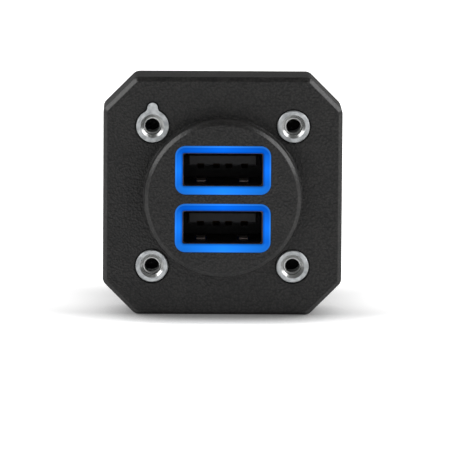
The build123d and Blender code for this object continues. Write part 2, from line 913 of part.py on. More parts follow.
# Rear cover: plate with a lip inside the can that leaves the blades room, screw recesses, and
# a raised block with slots for the blades and a wall that keeps their connectors apart
with BuildPart() as rear_cover:
    with BuildSketch(facing(housing_rear)):
        can_outline(housing_draft)
    extrude(amount=-cover_thickness)
    chamfer(rear_cover.faces().sort_by(Axis.Y)[-1].edges(), cover_bevel)
    with BuildSketch(facing(housing_rear)):
        with Locations((0, housing_inner_middle)):
            RectangleRounded(
                2 * (housing_inner_half - board_fit),
                housing_inner_height - 2 * board_fit,
                housing_corner - housing_wall,
            )
            for room in (
                2 * (housing_inner_half - board_fit - lip_wall),
                blade_spacing + blade_width + 2 * board_fit,
            ):
                Rectangle(
                    room, housing_inner_height - 2 * (board_fit + lip_wall), mode=Mode.SUBTRACT
                )
        with Locations(*cover_boss_places):
            Circle(cover_boss_radius + board_fit, mode=Mode.SUBTRACT)
    extrude(amount=lip_depth)
    with BuildSketch(facing(cover_back)):
        with Locations((0, blade_z)):
            RectangleRounded(terminal_width, terminal_height, terminal_corner)
    extrude(amount=-terminal_depth)
    with BuildSketch(facing(terminal_back)):
        with Locations((0, blade_z)):
            Rectangle(partition_thickness, terminal_height)
    extrude(amount=-partition_reach)
    with BuildSketch(facing(terminal_back)):
        with Locations(*[(x, blade_z) for x in blade_places.values()]):
            Rectangle(blade_width + 2 * fit, blade_thickness + 2 * fit)
    extrude(amount=cover_thickness + terminal_depth, mode=Mode.SUBTRACT)
    with BuildSketch(facing(cover_back)):
        with Locations(*cover_boss_places):
            Circle(cover_screw_head + fit)
    extrude(amount=cover_screw_head_height, mode=Mode.SUBTRACT)
    with BuildSketch(facing(cover_back)):
        with Locations(*cover_boss_places):
            Circle(cover_screw_radius + fit)
    extrude(amount=cover_thickness, mode=Mode.SUBTRACT)
rear_cover.part.label = "rear_cover"
export_step(rear_cover.part, "parts/rear_cover.step")

cover_screws = screws_at(
    pan_screw(cover_screw_radius, cover_screw_length, cover_screw_head, cover_screw_head_height),
    cover_back - cover_screw_head_height,
    cover_boss_places,
)
cover_screws.label = "cover_screws"
export_step(cover_screws, "parts/cover_screws.step")


# Blades: bent strips from the main board out through the cover, with pointed, pierced ends
def blade_at(x):
    riser_y = main_board_back - blade_setback
    blade_end = terminal_back + blade_reach
    with BuildPart() as blade:
        add(
            strip(
                [
                    (blade_foot_y, main_board_top + blade_thickness / 2),
                    (riser_y, main_board_top + blade_thickness / 2),
                    (riser_y, blade_z),
                    (blade_end, blade_z),
                ],
                blade_bend,
                blade_thickness,
                blade_width,
                x,
            )
        )
        tip_edges = blade.edges().filter_by(Axis.Z).group_by(Axis.Y)[-1]
        chamfer(tip_edges, blade_tip)
        with BuildSketch(Plane.XY.offset(blade_z)):
            with Locations((x, terminal_back + blade_reach / 2)):
                Circle(blade_hole)
        extrude(amount=blade_thickness, both=True, mode=Mode.SUBTRACT)
    return blade.part


for name, x in blade_places.items():
    blade = blade_at(x)
    blade.label = f"{name}_blade"
    export_step(blade, f"parts/{name}_blade.step")
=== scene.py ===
import json
import math

import bmesh
import bpy
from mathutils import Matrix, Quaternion, Vector


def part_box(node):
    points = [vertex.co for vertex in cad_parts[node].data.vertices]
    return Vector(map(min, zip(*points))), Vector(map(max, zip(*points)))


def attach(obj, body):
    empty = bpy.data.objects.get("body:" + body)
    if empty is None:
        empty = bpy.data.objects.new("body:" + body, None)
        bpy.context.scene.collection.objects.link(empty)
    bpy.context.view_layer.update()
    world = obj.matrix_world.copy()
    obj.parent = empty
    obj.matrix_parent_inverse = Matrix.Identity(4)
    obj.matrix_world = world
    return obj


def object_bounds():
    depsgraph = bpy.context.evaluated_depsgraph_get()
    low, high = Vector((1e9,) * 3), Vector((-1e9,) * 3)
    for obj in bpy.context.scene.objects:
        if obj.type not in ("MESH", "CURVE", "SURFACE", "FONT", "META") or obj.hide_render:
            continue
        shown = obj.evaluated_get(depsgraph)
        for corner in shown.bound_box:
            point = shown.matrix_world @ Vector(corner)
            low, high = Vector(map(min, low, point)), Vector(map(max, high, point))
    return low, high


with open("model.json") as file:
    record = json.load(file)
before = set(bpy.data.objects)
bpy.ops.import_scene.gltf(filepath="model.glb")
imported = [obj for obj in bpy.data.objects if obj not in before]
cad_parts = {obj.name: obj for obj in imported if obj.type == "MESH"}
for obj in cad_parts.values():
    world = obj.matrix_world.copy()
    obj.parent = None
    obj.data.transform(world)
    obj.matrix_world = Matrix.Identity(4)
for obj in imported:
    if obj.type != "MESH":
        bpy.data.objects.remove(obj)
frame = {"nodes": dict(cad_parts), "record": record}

cadBox = [list(corner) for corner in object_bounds()]
nodes = frame["nodes"]
mm = 0.001
print("frame loaded:", len(nodes), "nodes")


# Helpers

def linearColour(hexColour):
    # sRGB hex to the linear values that shader sockets hold
    channels = [int(hexColour[i:i + 2], 16) / 255 for i in (1, 3, 5)]
    linear = [c / 12.92 if c <= 0.04045 else ((c + 0.055) / 1.055) ** 2.4 for c in channels]
    return (*linear, 1.0)


def addNode(tree, kind, settings={}, inputs={}):
    # One node with its settings; an input takes a value, another node or one of its sockets.
    # Of sockets that share a name, the one that the settings leave switched on is taken
    node = tree.nodes.new(kind)
    for name, value in settings.items():
        setattr(node, name, value)
    for name, value in inputs.items():
        byName = [socket for socket in node.inputs if socket.enabled and socket.name == name]
        socket = byName[0] if byName else node.inputs[name]
        if isinstance(value, bpy.types.Node):
            value = [output for output in value.outputs if output.enabled][0]
        if isinstance(value, bpy.types.NodeSocket):
            tree.links.new(value, socket)
        else:
            socket.default_value = value
    return node


def startMaterial(name):
    # Empty material, its tree, and the object coordinates that every pattern reads
    material = bpy.data.materials.new(name)
    material.use_nodes = True
    tree = material.node_tree
    tree.nodes.clear()
    return material, tree, addNode(tree, "ShaderNodeTexCoord").outputs["Object"]


def perMetre(sizeMm):
    # Texture scale that gives features of this size in millimetres
    return 1 / (sizeMm * mm)


def fromPortMiddle(tree, place, portHeight):
    # Distances from the middle of the nearer port, sideways and in height; both ports are served
    # at once, because they lie as far above the block's middle as below it
    mirrored = addNode(tree, "ShaderNodeVectorMath", {"operation": "ABSOLUTE"}, {0: place})
    axes = addNode(tree, "ShaderNodeSeparateXYZ", {}, {"Vector": mirrored})
    above = addNode(tree, "ShaderNodeMath", {"operation": "SUBTRACT"}, {
        0: axes.outputs["Z"], 1: portHeight,
    })
    upwards = addNode(tree, "ShaderNodeMath", {"operation": "ABSOLUTE"}, {0: above})
    return axes.outputs["X"], upwards


noiseSpan = {"From Min": 0.3, "From Max": 0.7}       # nearly all values of a noise texture lie here


# Front block and rear housing

bezelLook = {
    "dark": "#1b1b1b",
    "pale": "#302f2e",
    "tintSpan": (0.85, 1.4),             # height and cloud added up, from the dark colour to the pale
    "cloud": 4.5,            # mm across a paler cloud of fibre
    "cloudShare": 0.6,       # how much a cloud tells in the tint, against the grain's height
    "grain": 0.36,           # mm across one cell of the grain, coarser than real so that it shows
    "grainHeight": 0.11,     # mm
    "grainFacing": (0.85, 1.0),          # Y part of the normal over which the grain comes in
    "wander": 0.9,           # mm over which the cells' borders wander
    "wanderReach": 0.3,      # mm that they wander by at most
    "grit": 0.2,             # mm across the fine grit on the cells
    "gritShare": 0.45,       # its height against the cells'
    "edgeGrain": 0.2,        # share of the grain's height left on bevels and round edges
    "edgeRound": 0.22,       # mm that a moulded edge is softened by
    "edgeSlope": (0.1, 0.25),            # how far a face has to slope to count as a bevel
    "edgeRough": 0.33,       # bevels are polished by handling and by the mould's parting
    "rough": (0.4, 0.58),    # from the grit's hollows to its tops
    "ior": 1.53,
    "specular": 0.25,
}
housingLook = dict(bezelLook, dark="#1a1a1a", pale="#292928", grain=0.5)


def sparkErodedNylon(name, look):
    # Glass-filled nylon from a spark-eroded mould: black and dull, with a leathery grain on its
    # front whose cells catch the light one by one, smoother bevels, and paler clouds of fibre
    material, tree, place = startMaterial(name)
    wander = addNode(tree, "ShaderNodeTexNoise", {}, {
        "Vector": place, "Scale": perMetre(look["wander"]), "Detail": 1.0,
    })
    bent = addNode(tree, "ShaderNodeVectorMath", {"operation": "MULTIPLY_ADD"}, {
        0: wander.outputs["Color"], 1: [look["wanderReach"] * mm] * 3, 2: place,
    })
    cells = addNode(tree, "ShaderNodeTexVoronoi", {"feature": "SMOOTH_F1"}, {
        "Vector": bent, "Scale": perMetre(look["grain"]), "Smoothness": 0.6,
    })
    grit = addNode(tree, "ShaderNodeTexNoise", {}, {
        "Vector": place, "Scale": perMetre(look["grit"]), "Detail": 2.0, "Roughness": 0.6,
    })
    domes = addNode(tree, "ShaderNodeMath", {"operation": "SUBTRACT"}, {0: 1.0, 1: cells})
    height = addNode(tree, "ShaderNodeMath", {"operation": "MULTIPLY_ADD"}, {
        0: grit, 1: look["gritShare"], 2: domes,
    })
    softEdge = addNode(tree, "ShaderNodeBevel", {"samples": 4}, {"Radius": look["edgeRound"] * mm})
    facing = addNode(tree, "ShaderNodeSeparateXYZ", {}, {
        "Vector": addNode(tree, "ShaderNodeTexCoord").outputs["Normal"],
    })
    squareOn = addNode(tree, "ShaderNodeMath", {"operation": "ABSOLUTE"}, {0: facing.outputs["Y"]})
    grained = addNode(tree, "ShaderNodeMapRange", {}, {
        "Value": squareOn, "From Min": look["grainFacing"][0], "From Max": look["grainFacing"][1],
        "To Min": look["edgeGrain"], "To Max": 1.0,
    })
    bump = addNode(tree, "ShaderNodeBump", {}, {
        "Height": height, "Strength": grained, "Distance": look["grainHeight"] * mm, "Normal": softEdge,
    })
    cloud = addNode(tree, "ShaderNodeTexNoise", {}, {
        "Vector": place, "Scale": perMetre(look["cloud"]), "Detail": 3.0,
    })
    cloudy = addNode(tree, "ShaderNodeMath", {"operation": "MULTIPLY_ADD"}, {
        0: cloud, 1: look["cloudShare"], 2: height,
    })
    tint = addNode(tree, "ShaderNodeMapRange", {}, {
        "Value": cloudy, "From Min": look["tintSpan"][0], "From Max": look["tintSpan"][1],
    })
    colour = addNode(tree, "ShaderNodeMix", {"data_type": "RGBA"}, {
        "Factor": tint, "A": linearColour(look["dark"]), "B": linearColour(look["pale"]),
    })
    rough = addNode(tree, "ShaderNodeMapRange", {}, {
        "Value": grit, **noiseSpan, "To Min": look["rough"][0], "To Max": look["rough"][1],
    })
    # Nought on faces that look straight forward or straight aside, and highest between the two
    slope = addNode(tree, "ShaderNodeMath", {"operation": "PINGPONG"}, {0: squareOn, 1: 0.5})
    onBevel = addNode(tree, "ShaderNodeMapRange", {}, {
        "Value": slope, "From Min": look["edgeSlope"][0], "From Max": look["edgeSlope"][1],
    })
    roughness = addNode(tree, "ShaderNodeMix", {}, {
        "Factor": onBevel, "A": rough, "B": look["edgeRough"],
    })
    shader = addNode(tree, "ShaderNodeBsdfPrincipled", {}, {
        "Base Color": colour, "Roughness": roughness, "Normal": bump,
        "IOR": look["ior"], "Specular IOR Level": look["specular"],
    })
    addNode(tree, "ShaderNodeOutputMaterial", {}, {"Surface": shader})
    return material


# Light rings

ringLook = {
    "dye": "#001634",
    "glowInPaintedShade": "#0067ec",  # painted shade: the glow is drawn deeper on slopes that face down, as those above a port do
    "glowWithPaintedLight": "#1c86ff",  # painted light: the glow is drawn paler on slopes that face up, as if lit from above
    "paintedLightFromRightShare": 0.2,       # how much facing right brightens it, against facing up: painted light from the right
    "cloud": 2.4,            # mm across a brighter cloud
    "cloudShare": 0.4,       # how much a cloud brightens it
    "glowSpan": (-0.3, 0.85),            # facing and cloud added up, from the glow in painted shade to the glow with painted light
    # Painted highlight along the ring's front rim
    "paintedRimHighlight": "#3a92f6",
    "rimHighlightShare": 0.5,         # how much of the painted highlight's colour the rim takes at the very front
    "rimHighlightDepth": 0.05,        # mm behind the front where the painted rim highlight has faded
    "middleGlow": 1.14,      # strength halfway along a side
    "cornerGlow": 0.4,
    "litDepth": (0.6, 1.3),  # mm behind the front over which the glow ends, at the port
    "insideGlow": 0.002,
    "ripple": 0.8,           # mm between the ripples that the melt left
    "bumpStrength": 0.2,
    "bumpHeight": 0.02,      # mm
    "rough": (0.5, 0.62),
    "ior": 1.586,
    "specular": 0.03,
}


def litPolycarbonate(name, look):
    # Blue-dyed polycarbonate light guide, moulded with a satin face and lit from behind: its glow
    # drowns reflections, carries painted light on slopes that face up or right and a painted highlight on
    # the front rim, deepens towards the corners, and ends inside
    material, tree, place = startMaterial(name)
    low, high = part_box("upper_light_ring")
    depth = addNode(tree, "ShaderNodeSeparateXYZ", {}, {"Vector": place}).outputs["Y"]
    # Painted light and shade: slopes that face up or right glow paler, as if lit from above and the right
    facing = addNode(tree, "ShaderNodeVectorMath", {"operation": "DOT_PRODUCT"}, {
        0: addNode(tree, "ShaderNodeTexCoord").outputs["Normal"], 1: (look["paintedLightFromRightShare"], 0, 1),
    }).outputs["Value"]
    cloud = addNode(tree, "ShaderNodeTexNoise", {}, {"Vector": place, "Scale": perMetre(look["cloud"])})
    cloudy = addNode(tree, "ShaderNodeMath", {"operation": "MULTIPLY_ADD"}, {
        0: cloud, 1: look["cloudShare"], 2: facing,
    })
    paintedLightAndCloud = addNode(tree, "ShaderNodeMapRange", {}, {
        "Value": cloudy, "From Min": look["glowSpan"][0], "From Max": look["glowSpan"][1],
    })
    body = addNode(tree, "ShaderNodeMix", {"data_type": "RGBA"}, {
        "Factor": paintedLightAndCloud, "A": linearColour(look["glowInPaintedShade"]), "B": linearColour(look["glowWithPaintedLight"]),
    })
    # Painted highlight: the very front of the rim is drawn paler
    paintedRimHighlight = addNode(tree, "ShaderNodeMapRange", {}, {
        "Value": depth, "From Min": low.y, "From Max": low.y + look["rimHighlightDepth"] * mm,
        "To Min": look["rimHighlightShare"], "To Max": 0.0,
    })
    glow = addNode(tree, "ShaderNodeMix", {"data_type": "RGBA"}, {
        "Factor": paintedRimHighlight, "A": body, "B": linearColour(look["paintedRimHighlight"]),
    })
    sideways, upwards = fromPortMiddle(tree, place, (low.z + high.z) / 2)
    nearCorner = addNode(tree, "ShaderNodeMath", {"operation": "MULTIPLY"}, {0: sideways, 1: upwards})
    frontStrength = addNode(tree, "ShaderNodeMapRange", {}, {
        "Value": nearCorner, "From Min": 0.0, "From Max": high.x * (high.z - low.z) / 2,
        "To Min": look["middleGlow"], "To Max": look["cornerGlow"],
    })
    strength = addNode(tree, "ShaderNodeMapRange", {}, {
        "Value": depth,
        "From Min": low.y + look["litDepth"][0] * mm, "From Max": low.y + look["litDepth"][1] * mm,
        "To Min": frontStrength, "To Max": look["insideGlow"],
    })
    ripple = addNode(tree, "ShaderNodeTexNoise", {}, {"Vector": place, "Scale": perMetre(look["ripple"])})
    bump = addNode(tree, "ShaderNodeBump", {}, {
        "Height": ripple, "Strength": look["bumpStrength"], "Distance": look["bumpHeight"] * mm,
    })
    rough = addNode(tree, "ShaderNodeMapRange", {}, {
        "Value": ripple, "To Min": look["rough"][0], "To Max": look["rough"][1],
    })
    shader = addNode(tree, "ShaderNodeBsdfPrincipled", {}, {
        "Base Color": linearColour(look["dye"]), "Roughness": rough, "Normal": bump,
        "IOR": look["ior"], "Specular IOR Level": look["specular"],
        "Emission Color": glow, "Emission Strength": strength,
    })
    addNode(tree, "ShaderNodeOutputMaterial", {}, {"Surface": shader})
    return material


# Threaded inserts

insertLook = {
    "spacing": 22.45,        # mm between the inserts, which stand in a square
    "coneEdge": 1.82,        # mm, radius where the turned cone meets the flange
    "edgeBlend": 0.08,       # mm over which one finish passes into the other
    "flangeDark": "#95989a",
    "flangePale": "#c2c5c6",
    "smear": 0.8,            # mm across a paler smear
    "flangeRough": (0.44, 0.58),
    "dent": 0.2,             # mm across the marks of tumbling, coarser than real so that they show
    "cone": "#c9cac9",
    "coneRough": 0.28,
    "turning": 0.09,         # mm between the cutter's rings, coarser than real so that they show
    "turningShare": 0.2,     # their height against the dents'
    "bumpStrength": 0.5,
    "bumpHeight": 0.02,      # mm
}


def nickelPlatedBrass(name, look):
    # Turned brass under satin nickel: tumbled to an even grey on the flange, and bright in the
    # countersink, where the cutter left fine rings that streak the reflections
    material, tree, place = startMaterial(name)
    axes = addNode(tree, "ShaderNodeSeparateXYZ", {}, {"Vector": place})
    # All four inserts are folded onto one, so that the radius is measured from each one's middle
    right = addNode(tree, "ShaderNodeMath", {"operation": "ABSOLUTE"}, {0: axes.outputs["X"]})
    up = addNode(tree, "ShaderNodeMath", {"operation": "ABSOLUTE"}, {0: axes.outputs["Z"]})
    middle = look["spacing"] / 2 * mm
    radius = addNode(tree, "ShaderNodeVectorMath", {"operation": "DISTANCE"}, {
        0: addNode(tree, "ShaderNodeCombineXYZ", {}, {"X": right, "Y": up}), 1: (middle, middle, 0),
    }).outputs["Value"]
    inCone = addNode(tree, "ShaderNodeMapRange", {}, {
        "Value": radius,
        "From Min": look["coneEdge"] * mm, "From Max": (look["coneEdge"] + look["edgeBlend"]) * mm,
        "To Min": 1.0, "To Max": 0.0,
    })
    dents = addNode(tree, "ShaderNodeTexNoise", {}, {
        "Vector": place, "Scale": perMetre(look["dent"]), "Detail": 3.0, "Roughness": 0.65,
    })
    smears = addNode(tree, "ShaderNodeTexNoise", {}, {
        "Vector": place, "Scale": perMetre(look["smear"]), "Detail": 3.0,
    })
    smeared = addNode(tree, "ShaderNodeMapRange", {}, {"Value": smears, **noiseSpan})
    flange = addNode(tree, "ShaderNodeMix", {"data_type": "RGBA"}, {
        "Factor": smeared, "A": linearColour(look["flangeDark"]), "B": linearColour(look["flangePale"]),
    })
    colour = addNode(tree, "ShaderNodeMix", {"data_type": "RGBA"}, {
        "Factor": inCone, "A": flange, "B": linearColour(look["cone"]),
    })
    rings = addNode(tree, "ShaderNodeMath", {"operation": "SINE"}, {
        0: addNode(tree, "ShaderNodeMath", {"operation": "MULTIPLY"}, {
            0: radius, 1: 2 * math.pi * perMetre(look["turning"]),
        }),
    })
    lowRings = addNode(tree, "ShaderNodeMath", {"operation": "MULTIPLY"}, {
        0: rings, 1: look["turningShare"],
    })
    height = addNode(tree, "ShaderNodeMix", {}, {"Factor": inCone, "A": dents, "B": lowRings})
    bump = addNode(tree, "ShaderNodeBump", {}, {
        "Height": height, "Strength": look["bumpStrength"], "Distance": look["bumpHeight"] * mm,
    })
    flangeRough = addNode(tree, "ShaderNodeMapRange", {}, {
        "Value": dents, **noiseSpan, "To Min": look["flangeRough"][0], "To Max": look["flangeRough"][1],
    })
    rough = addNode(tree, "ShaderNodeMix", {}, {
        "Factor": inCone, "A": flangeRough, "B": look["coneRough"],
    })
    shader = addNode(tree, "ShaderNodeBsdfPrincipled", {}, {
        "Base Color": colour, "Metallic": 1.0, "Roughness": rough, "Normal": bump,
    })
    addNode(tree, "ShaderNodeOutputMaterial", {}, {"Surface": shader})
    return material


# Strip metal, cans and screws

stripLook = {
    "grain": 0.4,            # mm across the noise that is drawn out into lines, coarser than real
    "drawOut": (4.0, 0.3, 4.0),          # narrows it across and lengthens it along Y
    "stain": 2.5,            # mm across a stain in the plating
    "roughSpread": 0.14,     # roughness gained from the smoothest line to the dullest
    "bumpStrength": 0.25,
    "bumpHeight": 0.01,      # mm
}
shellLook = dict(
    stripLook, dark="#37312f", pale="#5c5351", rough=0.5,
    # Paler colour painted on the springs as glints
    springGlint="#ab9f9a",
    springGlintWithin=(2.3, 2.5),   # mm above or below a port's middle, over which the painted glint fades
    springGlintAside=5.0,           # mm to either side of it
)
# Gold plate drawn dark as painted shade, deep in the port
contactLookDarkenedAsShade = dict(stripLook, dark="#2b2113", pale="#41331e", rough=0.34, grain=0.3)
bladeLook = dict(stripLook, dark="#b3b0a7", pale="#cbc8c0", rough=0.26, grain=0.5)
screwLook = dict(stripLook, dark="#9ba0a6", pale="#b9bec3", rough=0.3, grain=0.3, drawOut=(1.0, 1.0, 1.0))
canLook = dict(stripLook, dark="#c0c3c7", pale="#d6d8db", rough=0.3, drawOut=(4.0, 4.0, 0.3))


def paintedSpringGlint(tree, place, look, colour):
    # Painted glints: the springs, which stand nearest a port's middle, are drawn in a paler colour
    low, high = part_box("upper_port_shell")
    sideways, upwards = fromPortMiddle(tree, place, (low.z + high.z) / 2)
    raised = addNode(tree, "ShaderNodeMapRange", {}, {
        "Value": upwards, "From Min": look["springGlintWithin"][0] * mm, "From Max": look["springGlintWithin"][1] * mm,
        "To Min": 1.0, "To Max": 0.0,
    })
    betweenWalls = addNode(tree, "ShaderNodeMath", {"operation": "LESS_THAN"}, {
        0: sideways, 1: look["springGlintAside"] * mm,
    })
    springGlint = addNode(tree, "ShaderNodeMath", {"operation": "MULTIPLY"}, {0: raised, 1: betweenWalls})
    return addNode(tree, "ShaderNodeMix", {"data_type": "RGBA"}, {
        "Factor": springGlint, "A": colour, "B": linearColour(look["springGlint"]),
    })


def rolledStrip(name, look):
    # Rolled, stamped and plated metal: long fine rolling lines that stretch the highlights one
    # way, and soft stains in the plating
    material, tree, place = startMaterial(name)
    drawnOut = addNode(tree, "ShaderNodeMapping", {}, {"Vector": place, "Scale": look["drawOut"]})
    lines = addNode(tree, "ShaderNodeTexNoise", {}, {
        "Vector": drawnOut, "Scale": perMetre(look["grain"]), "Detail": 3.0, "Roughness": 0.7,
    })
    stains = addNode(tree, "ShaderNodeTexNoise", {}, {
        "Vector": place, "Scale": perMetre(look["stain"]), "Detail": 2.0,
    })
    stained = addNode(tree, "ShaderNodeMapRange", {}, {"Value": stains, **noiseSpan})
    colour = addNode(tree, "ShaderNodeMix", {"data_type": "RGBA"}, {
        "Factor": stained, "A": linearColour(look["dark"]), "B": linearColour(look["pale"]),
    })
    # Painted glints on the springs, where a look gives them
    if "springGlint" in look:
        colour = paintedSpringGlint(tree, place, look, colour)
    bump = addNode(tree, "ShaderNodeBump", {}, {
        "Height": lines, "Strength": look["bumpStrength"], "Distance": look["bumpHeight"] * mm,
    })
    rough = addNode(tree, "ShaderNodeMapRange", {}, {
        "Value": lines, **noiseSpan,
        "To Min": look["rough"], "To Max": look["rough"] + look["roughSpread"],
    })
    shader = addNode(tree, "ShaderNodeBsdfPrincipled", {}, {
        "Base Color": colour, "Metallic": 1.0, "Roughness": rough, "Normal": bump,
    })
    addNode(tree, "ShaderNodeOutputMaterial", {}, {"Surface": shader})
    return material


# Moulded and pressed pieces inside

mouldedLook = {
    "mottling": 4.0,         # size of a mottle, in grains
    "roughSpread": 0.12,
    "bumpStrength": 0.3,
    "bumpHeight": 0.01,      # mm
}
# Each grain is in mm, coarser than real so that it shows from near by
insulatorLook = dict(mouldedLook, dark="#0c0c0d", pale="#151516", grain=0.25, rough=0.6, ior=1.4)
lensLook = dict(mouldedLook, dark="#9cc4ff", pale="#c4dcff", grain=0.3, rough=0.15, ior=1.45)
chipLook = dict(mouldedLook, dark="#191919", pale="#232323", grain=0.12, rough=0.5, ior=1.55)
ferriteLook = dict(mouldedLook, dark="#33343a", pale="#454750", grain=0.15, rough=0.48, ior=2.2)
padLook = dict(mouldedLook, dark="#7f97ab", pale="#93abc0", grain=0.4, rough=0.78, ior=1.41)
sealLook = dict(mouldedLook, dark="#141414", pale="#1e1e1e", grain=0.3, rough=0.72, ior=1.52)


def mouldedPiece(name, look):
    # Moulded or pressed material: soft mottling, a fine surface grain, and the gloss of its kind
    material, tree, place = startMaterial(name)
    mottle = addNode(tree, "ShaderNodeTexNoise", {}, {
        "Vector": place, "Scale": perMetre(look["mottling"] * look["grain"]), "Detail": 2.0,
    })
    grain = addNode(tree, "ShaderNodeTexNoise", {}, {"Vector": place, "Scale": perMetre(look["grain"])})
    mottled = addNode(tree, "ShaderNodeMapRange", {}, {"Value": mottle, **noiseSpan})
    colour = addNode(tree, "ShaderNodeMix", {"data_type": "RGBA"}, {
        "Factor": mottled, "A": linearColour(look["dark"]), "B": linearColour(look["pale"]),
    })
    bump = addNode(tree, "ShaderNodeBump", {}, {
        "Height": grain, "Strength": look["bumpStrength"], "Distance": look["bumpHeight"] * mm,
    })
    rough = addNode(tree, "ShaderNodeMapRange", {}, {
        "Value": grain, **noiseSpan,
        "To Min": look["rough"], "To Max": look["rough"] + look["roughSpread"],
    })
    shader = addNode(tree, "ShaderNodeBsdfPrincipled", {}, {
        "Base Color": colour, "Roughness": rough, "Normal": bump, "IOR": look["ior"],
    })
    addNode(tree, "ShaderNodeOutputMaterial", {}, {"Surface": shader})
    return material


# Boards

boardLook = {
    "mask": "#0f4a26",
    "overCopper": "#1c6a38",
    "copper": 2.4,           # mm, twice the length of a patch of copper
    "copperGap": 0.12,       # what is left free round a patch, as a share of that
    "thread": 0.5,           # mm between threads of the cloth
    "bumpStrength": 0.2,
    "bumpHeight": 0.01,      # mm
    "rough": 0.32,
    "ior": 1.55,
}


def maskedLaminate(name, look):
    # Pressed glass-epoxy board under green solder mask: the woven cloth shows as a fine square
    # relief, and copper lies a shade paler beneath the mask
    material, tree, place = startMaterial(name)
    axes = addNode(tree, "ShaderNodeSeparateXYZ", {}, {"Vector": place})
    # One board stands and the other lies, so the second way of the cloth is Y and Z added up
    across = addNode(tree, "ShaderNodeMath", {"operation": "ADD"}, {
        0: axes.outputs["Y"], 1: axes.outputs["Z"],
    })
    threads = []
    for along in (axes.outputs["X"], across):
        phase = addNode(tree, "ShaderNodeMath", {"operation": "MULTIPLY"}, {
            0: along, 1: 2 * math.pi * perMetre(look["thread"]),
        })
        threads.append(addNode(tree, "ShaderNodeMath", {"operation": "SINE"}, {0: phase}))
    weave = addNode(tree, "ShaderNodeMath", {"operation": "MULTIPLY"}, {0: threads[0], 1: threads[1]})
    copper = addNode(tree, "ShaderNodeTexBrick", {}, {
        "Vector": place, "Scale": perMetre(look["copper"]), "Mortar Size": look["copperGap"],
    })
    masked = addNode(tree, "ShaderNodeMix", {"data_type": "RGBA"}, {
        "Factor": copper.outputs["Fac"],
        "A": linearColour(look["overCopper"]), "B": linearColour(look["mask"]),
    })
    bump = addNode(tree, "ShaderNodeBump", {}, {
        "Height": weave, "Strength": look["bumpStrength"], "Distance": look["bumpHeight"] * mm,
    })
    shader = addNode(tree, "ShaderNodeBsdfPrincipled", {}, {
        "Base Color": masked, "Roughness": look["rough"], "IOR": look["ior"], "Normal": bump,
    })
    addNode(tree, "ShaderNodeOutputMaterial", {}, {"Surface": shader})
    return material


# Every node gets the finish of its slot

finishes = {
    "bezel_plastic": sparkErodedNylon("sparkErodedNylonBlock", bezelLook),
    "housing_plastic": sparkErodedNylon("sparkErodedNylonHousing", housingLook),
    "ring_plastic": litPolycarbonate("blueLitPolycarbonate", ringLook),
    "insert_metal": nickelPlatedBrass("nickelPlatedBrass", insertLook),
    "shell_steel": rolledStrip("blackNickelPlatedSteel", shellLook),     # dark, dull and brownish
    "contact_metal": rolledStrip("goldPlatedBronzeInPaintedShade", contactLookDarkenedAsShade),       # gold drawn dark as painted shade, with faint warm glints
    "blade_metal": rolledStrip("tinPlatedBrass", bladeLook),             # pale and slightly yellow
    "screw_steel": rolledStrip("zincPlatedSteel", screwLook),            # bluish, with no one direction
    "capacitor_aluminium": rolledStrip("drawnAluminiumCan", canLook),    # bright, with lines up the can
    "insulator_plastic": mouldedPiece("blackLiquidCrystalPolymer", insulatorLook),    # dull, even black
    "lamp_plastic": mouldedPiece("clearSiliconeLens", lensLook),         # glossy and milky
    "chip_plastic": mouldedPiece("blackEpoxyPackage", chipLook),         # matt and sandy
    "ferrite": mouldedPiece("groundFerrite", ferriteLook),               # grey with a mineral sheen
    "pad_silicone": mouldedPiece("filledSiliconePad", padLook),          # chalky blue-grey
    "seal_rubber": mouldedPiece("blackNitrileRubber", sealLook),         # the dullest black
    "board_laminate": maskedLaminate("glassEpoxyWithGreenMask", boardLook),
}
for part in frame["record"]["subparts"]:
    cadNode = nodes[part["node"]]
    finish = finishes[part["material_slot"]]
    for materialSlot in cadNode.material_slots:
        materialSlot.material = finish
    if not cadNode.material_slots:
        cadNode.data.materials.append(finish)
print("finishes given:", len(finishes))


# Threads: a ridge wound inside each insert

# In mm, apart from the turns; each is an input of the tree
threadSizes = {
    "spacing": insertLook["spacing"],
    "pitch": 0.635,          # 40 turns to the inch
    "crest": 1.12,           # inner radius of the ridge
    "root": 1.43,            # radius of the bore that the ridge stands in
    "start": 0.5,            # behind the face of the block
    "turns": 8.5,
}
stepsToATurn = 36
mergeWithin = 0.001          # mm, between points of the finished mesh that are one


